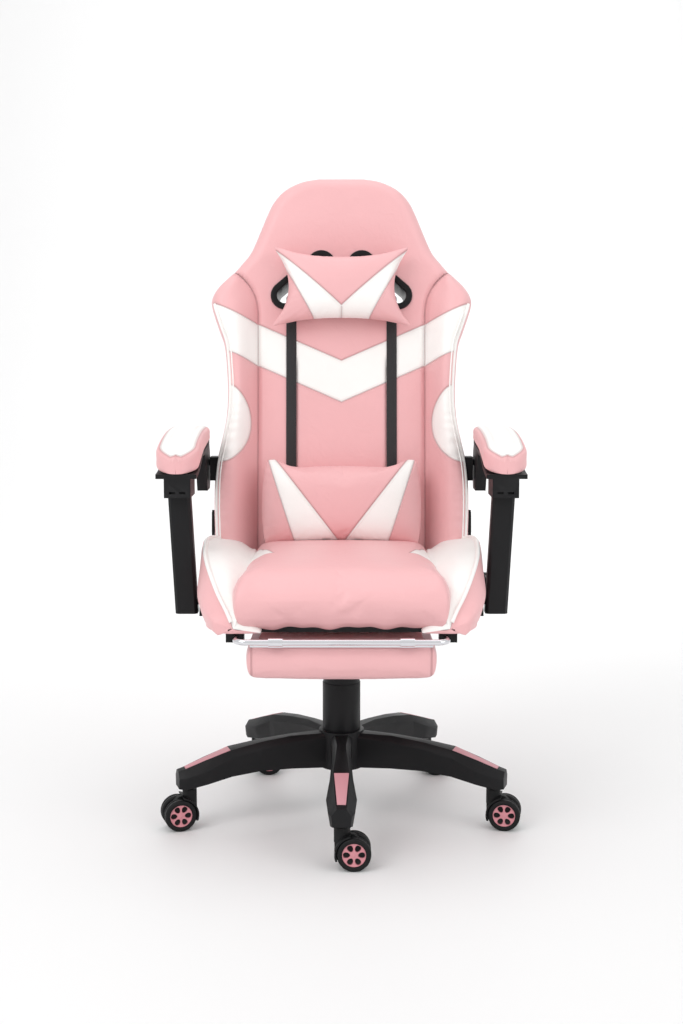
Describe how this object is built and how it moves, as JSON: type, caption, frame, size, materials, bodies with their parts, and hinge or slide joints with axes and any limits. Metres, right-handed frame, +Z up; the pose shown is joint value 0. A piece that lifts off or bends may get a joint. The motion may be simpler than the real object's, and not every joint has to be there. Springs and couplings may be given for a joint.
{
  "type": "gaming chair",
  "caption": "Swivel gaming chair in pink and white leatherette with reclining winged back, pillows, linked padded armrests, star base on casters and pull-out footrest.",
  "frame": {"origin": "on the floor under the axis of the gas column", "axes": "+Z up, -Y towards the front of the seat, +X towards the right of a viewer who faces the chair"},
  "size_m": [0.6611, 0.6754, 1.2063],
  "materials": {
    "black_plastic": "satin moulded plastic",
    "pink_plastic": "satin moulded plastic",
    "caster_nylon": "satin nylon",
    "black_steel": "black powder coat",
    "zinc_steel": "zinc plated",
    "chrome": "polished",
    "plywood": "raw plywood",
    "pink_leather": "soft satin, fine grain",
    "white_leather": "soft satin, fine grain",
    "webbing": "woven elastic"
  },
  "bodies": {
    "base": {"star_base": "black_plastic", "leg_inlays": "pink_plastic", "caster_stems": "zinc_steel", "gas_outer_tube": "black_steel", "column_sleeve_lower": "black_plastic"},
    "cover_middle": {"column_sleeve_middle": "black_plastic"},
    "column_rod": {"gas_rod": "chrome"},
    "lift": {"gas_cylinder": "chrome", "column_sleeve_upper": "black_plastic", "mechanism_housing": "black_steel", "tilt_pivot_pin": "zinc_steel", "tilt_spring": "zinc_steel"},
    "tension_knob": {"tilt_tension_knob": "black_plastic"},
    "lever_cam": {"lever_collar": "zinc_steel"},
    "height_lever": {"height_lever": "black_steel", "lever_paddle": "black_plastic"},
    "valve_button": {"gas_valve_button": "black_steel"},
    "seat": {"mechanism_plate": "black_steel", "plate_bolts": "zinc_steel", "seat_frame": "black_steel", "seat_board": "plywood", "seat_cushion": "pink_leather", "footrest_guides": "black_plastic", "recliner_left": "black_steel", "recliner_right": "black_steel", "recliner_cover_left": "black_plastic", "recliner_cover_right": "black_plastic", "arm_brackets": "black_steel"},
    "recline_lever": {"recline_lever": "black_plastic"},
    "footrest_slide": {"footrest_rod": "chrome"},
    "footrest_pad": {"footrest_board": "plywood", "footrest_pad": "pink_leather"},
    "backrest": {"backrest_cushion": "pink_leather", "backrest_frame": "black_steel", "harness_bezels": "black_plastic", "back_arm_blocks": "black_steel", "pillow_straps": "webbing"},
    "head_pillow": {"head_pillow": "pink_leather"},
    "lumbar_pillow": {"lumbar_pillow": "pink_leather"},
    "armrest_left": {"armrest_left": "black_plastic", "armrest_pad_left": "white_leather"},
    "arm_post_left": {"arm_post_left": "black_plastic"},
    "armrest_right": {"armrest_right": "black_plastic", "armrest_pad_right": "white_leather"},
    "arm_post_right": {"arm_post_right": "black_plastic"},
    "caster_1": {"caster_1_housing": "caster_nylon"},
    "caster_1_wheel_left": {"caster_1_wheel_left": "caster_nylon"},
    "caster_1_wheel_right": {"caster_1_wheel_right": "caster_nylon"},
    "caster_2": {"caster_2_housing": "caster_nylon"},
    "caster_2_wheel_left": {"caster_2_wheel_left": "caster_nylon"},
    "caster_2_wheel_right": {"caster_2_wheel_right": "caster_nylon"},
    "caster_3": {"caster_3_housing": "caster_nylon"},
    "caster_3_wheel_left": {"caster_3_wheel_left": "caster_nylon"},
    "caster_3_wheel_right": {"caster_3_wheel_right": "caster_nylon"},
    "caster_4": {"caster_4_housing": "caster_nylon"},
    "caster_4_wheel_left": {"caster_4_wheel_left": "caster_nylon"},
    "caster_4_wheel_right": {"caster_4_wheel_right": "caster_nylon"},
    "caster_5": {"caster_5_housing": "caster_nylon"},
    "caster_5_wheel_left": {"caster_5_wheel_left": "caster_nylon"},
    "caster_5_wheel_right": {"caster_5_wheel_right": "caster_nylon"}
  },
  "joints": [
    {"name": "seat_swivel", "type": "hinge", "parent": "base", "child": "column_rod", "pos_m": [0, 0, 0.1], "axis": [0, 0, 1], "continuous": true},
    {"name": "seat_height", "type": "slide", "parent": "column_rod", "child": "lift", "axis": [0, 0, 1], "range_m": [0, 0.08]},
    {"name": "cover_middle_slide", "type": "slide", "parent": "base", "child": "cover_middle", "axis": [0, 0, 1], "range_m": [0, 0.04]},
    {"name": "tension_knob_turn", "type": "hinge", "parent": "lift", "child": "tension_knob", "pos_m": [0, -0.064, 0.3], "axis": [0, 0, 1], "range_deg": [-720, 720]},
    {"name": "height_lever_lift", "type": "hinge", "parent": "lift", "child": "lever_cam", "pos_m": [-0.0525, 0, 0.359], "axis": [0, 1, 0], "range_deg": [0, 4], "stiffness_Nm_per_rad": 12, "springref_deg": -6.88},
    {"name": "height_lever_pull", "type": "slide", "parent": "lever_cam", "child": "height_lever", "axis": [-1, 0, 0], "range_m": [0, 0.012]},
    {"name": "valve_press", "type": "slide", "parent": "lift", "child": "valve_button", "axis": [0, 0, -1], "range_m": [0, 0.0042], "stiffness_N_per_m": 60},
    {"name": "seat_tilt", "type": "hinge", "parent": "lift", "child": "seat", "pos_m": [0, -0.038, 0.35], "axis": [-1, 0, 0], "range_deg": [0, 12], "stiffness_Nm_per_rad": 260, "springref_deg": -28.65},
    {"name": "recline_lever_pull", "type": "hinge", "parent": "seat", "child": "recline_lever", "pos_m": [0.28, 0.138, 0.418], "axis": [-1, 0, 0], "range_deg": [0, 30], "stiffness_Nm_per_rad": 0.6, "springref_deg": -20.05},
    {"name": "footrest_pull", "type": "slide", "parent": "seat", "child": "footrest_slide", "axis": [0, -1, 0], "range_m": [0, 0.294]},
    {"name": "footrest_flip", "type": "hinge", "parent": "footrest_slide", "child": "footrest_pad", "pos_m": [0, -0.278, 0.384], "axis": [-1, 0, 0], "range_deg": [0, 180]},
    {"name": "back_recline", "type": "hinge", "parent": "seat", "child": "backrest", "pos_m": [0, 0.192, 0.428], "axis": [-1, 0, 0], "range_deg": [0, 40]},
    {"name": "armrest_left_hinge", "type": "hinge", "parent": "backrest", "child": "armrest_left", "pos_m": [-0.262, 0.187, 0.644], "axis": [-1, 0, 0], "range_deg": [-40, 0]},
    {"name": "arm_post_left_hinge", "type": "hinge", "parent": "seat", "child": "arm_post_left", "pos_m": [-0.28, -0.058, 0.412], "axis": [-1, 0, 0], "range_deg": [0, 40]},
    {"name": "armrest_right_hinge", "type": "hinge", "parent": "backrest", "child": "armrest_right", "pos_m": [0.262, 0.187, 0.644], "axis": [-1, 0, 0], "range_deg": [-40, 0]},
    {"name": "arm_post_right_hinge", "type": "hinge", "parent": "seat", "child": "arm_post_right", "pos_m": [0.28, -0.058, 0.412], "axis": [-1, 0, 0], "range_deg": [0, 40]},
    {"name": "head_pillow_slide", "type": "slide", "parent": "backrest", "child": "head_pillow", "axis": [0, 0.1582, 0.9874], "range_m": [-0.03, 0.03]},
    {"name": "lumbar_pillow_slide", "type": "slide", "parent": "backrest", "child": "lumbar_pillow", "axis": [0, 0.1582, 0.9874], "range_m": [0, 0.12]},
    {"name": "caster_1_swivel", "type": "hinge", "parent": "base", "child": "caster_1", "pos_m": [0, -0.291, 0.06], "axis": [0, 0, 1], "continuous": true},
    {"name": "caster_1_roll_left", "type": "hinge", "parent": "caster_1", "child": "caster_1_wheel_left", "pos_m": [0.021, -0.291, 0.029], "axis": [0, 1, 0], "continuous": true},
    {"name": "caster_1_roll_right", "type": "hinge", "parent": "caster_1", "child": "caster_1_wheel_right", "pos_m": [0.021, -0.291, 0.029], "axis": [0, 1, 0], "continuous": true},
    {"name": "caster_2_swivel", "type": "hinge", "parent": "base", "child": "caster_2", "pos_m": [0.27676, -0.08992, 0.06], "axis": [0, 0, 1], "continuous": true},
    {"name": "caster_2_roll_left", "type": "hinge", "parent": "caster_2", "child": "caster_2_wheel_left", "pos_m": [0.29744, -0.09357, 0.029], "axis": [0.1736, 0.9848, 0], "continuous": true},
    {"name": "caster_2_roll_right", "type": "hinge", "parent": "caster_2", "child": "caster_2_wheel_right", "pos_m": [0.29744, -0.09357, 0.029], "axis": [0.1736, 0.9848, 0], "continuous": true},
    {"name": "caster_3_swivel", "type": "hinge", "parent": "base", "child": "caster_3", "pos_m": [0.17105, 0.23542, 0.06], "axis": [0, 0, 1], "continuous": true},
    {"name": "caster_3_roll_left", "type": "hinge", "parent": "caster_3", "child": "caster_3_wheel_left", "pos_m": [0.19199, 0.23689, 0.029], "axis": [-0.0698, 0.9976, 0], "continuous": true},
    {"name": "caster_3_roll_right", "type": "hinge", "parent": "caster_3", "child": "caster_3_wheel_right", "pos_m": [0.19199, 0.23689, 0.029], "axis": [-0.0698, 0.9976, 0], "continuous": true},
    {"name": "caster_4_swivel", "type": "hinge", "parent": "base", "child": "caster_4", "pos_m": [-0.17105, 0.23542, 0.06], "axis": [0, 0, 1], "continuous": true},
    {"name": "caster_4_roll_left", "type": "hinge", "parent": "caster_4", "child": "caster_4_wheel_left", "pos_m": [-0.15025, 0.23835, 0.029], "axis": [-0.1392, 0.9903, 0], "continuous": true},
    {"name": "caster_4_roll_right", "type": "hinge", "parent": "caster_4", "child": "caster_4_wheel_right", "pos_m": [-0.15025, 0.23835, 0.029], "axis": [-0.1392, 0.9903, 0], "continuous": true},
    {"name": "caster_5_swivel", "type": "hinge", "parent": "base", "child": "caster_5", "pos_m": [-0.27676, -0.08992, 0.06], "axis": [0, 0, 1], "continuous": true},
    {"name": "caster_5_roll_left", "type": "hinge", "parent": "caster_5", "child": "caster_5_wheel_left", "pos_m": [-0.29661, -0.09676, 0.029], "axis": [0.3256, -0.9455, 0], "continuous": true},
    {"name": "caster_5_roll_right", "type": "hinge", "parent": "caster_5", "child": "caster_5_wheel_right", "pos_m": [-0.29661, -0.09676, 0.029], "axis": [0.3256, -0.9455, 0], "continuous": true}
  ],
  "couplings": [
    {"joint": "cover_middle_slide", "follows": "seat_height", "ratio": 0.5},
    {"joint": "valve_press", "follows": "height_lever_lift", "m_per_rad": 0.0525},
    {"joint": "armrest_left_hinge", "follows": "back_recline", "ratio": -1},
    {"joint": "arm_post_left_hinge", "follows": "back_recline", "ratio": 1},
    {"joint": "armrest_right_hinge", "follows": "back_recline", "ratio": -1},
    {"joint": "arm_post_right_hinge", "follows": "back_recline", "ratio": 1}
  ]
}
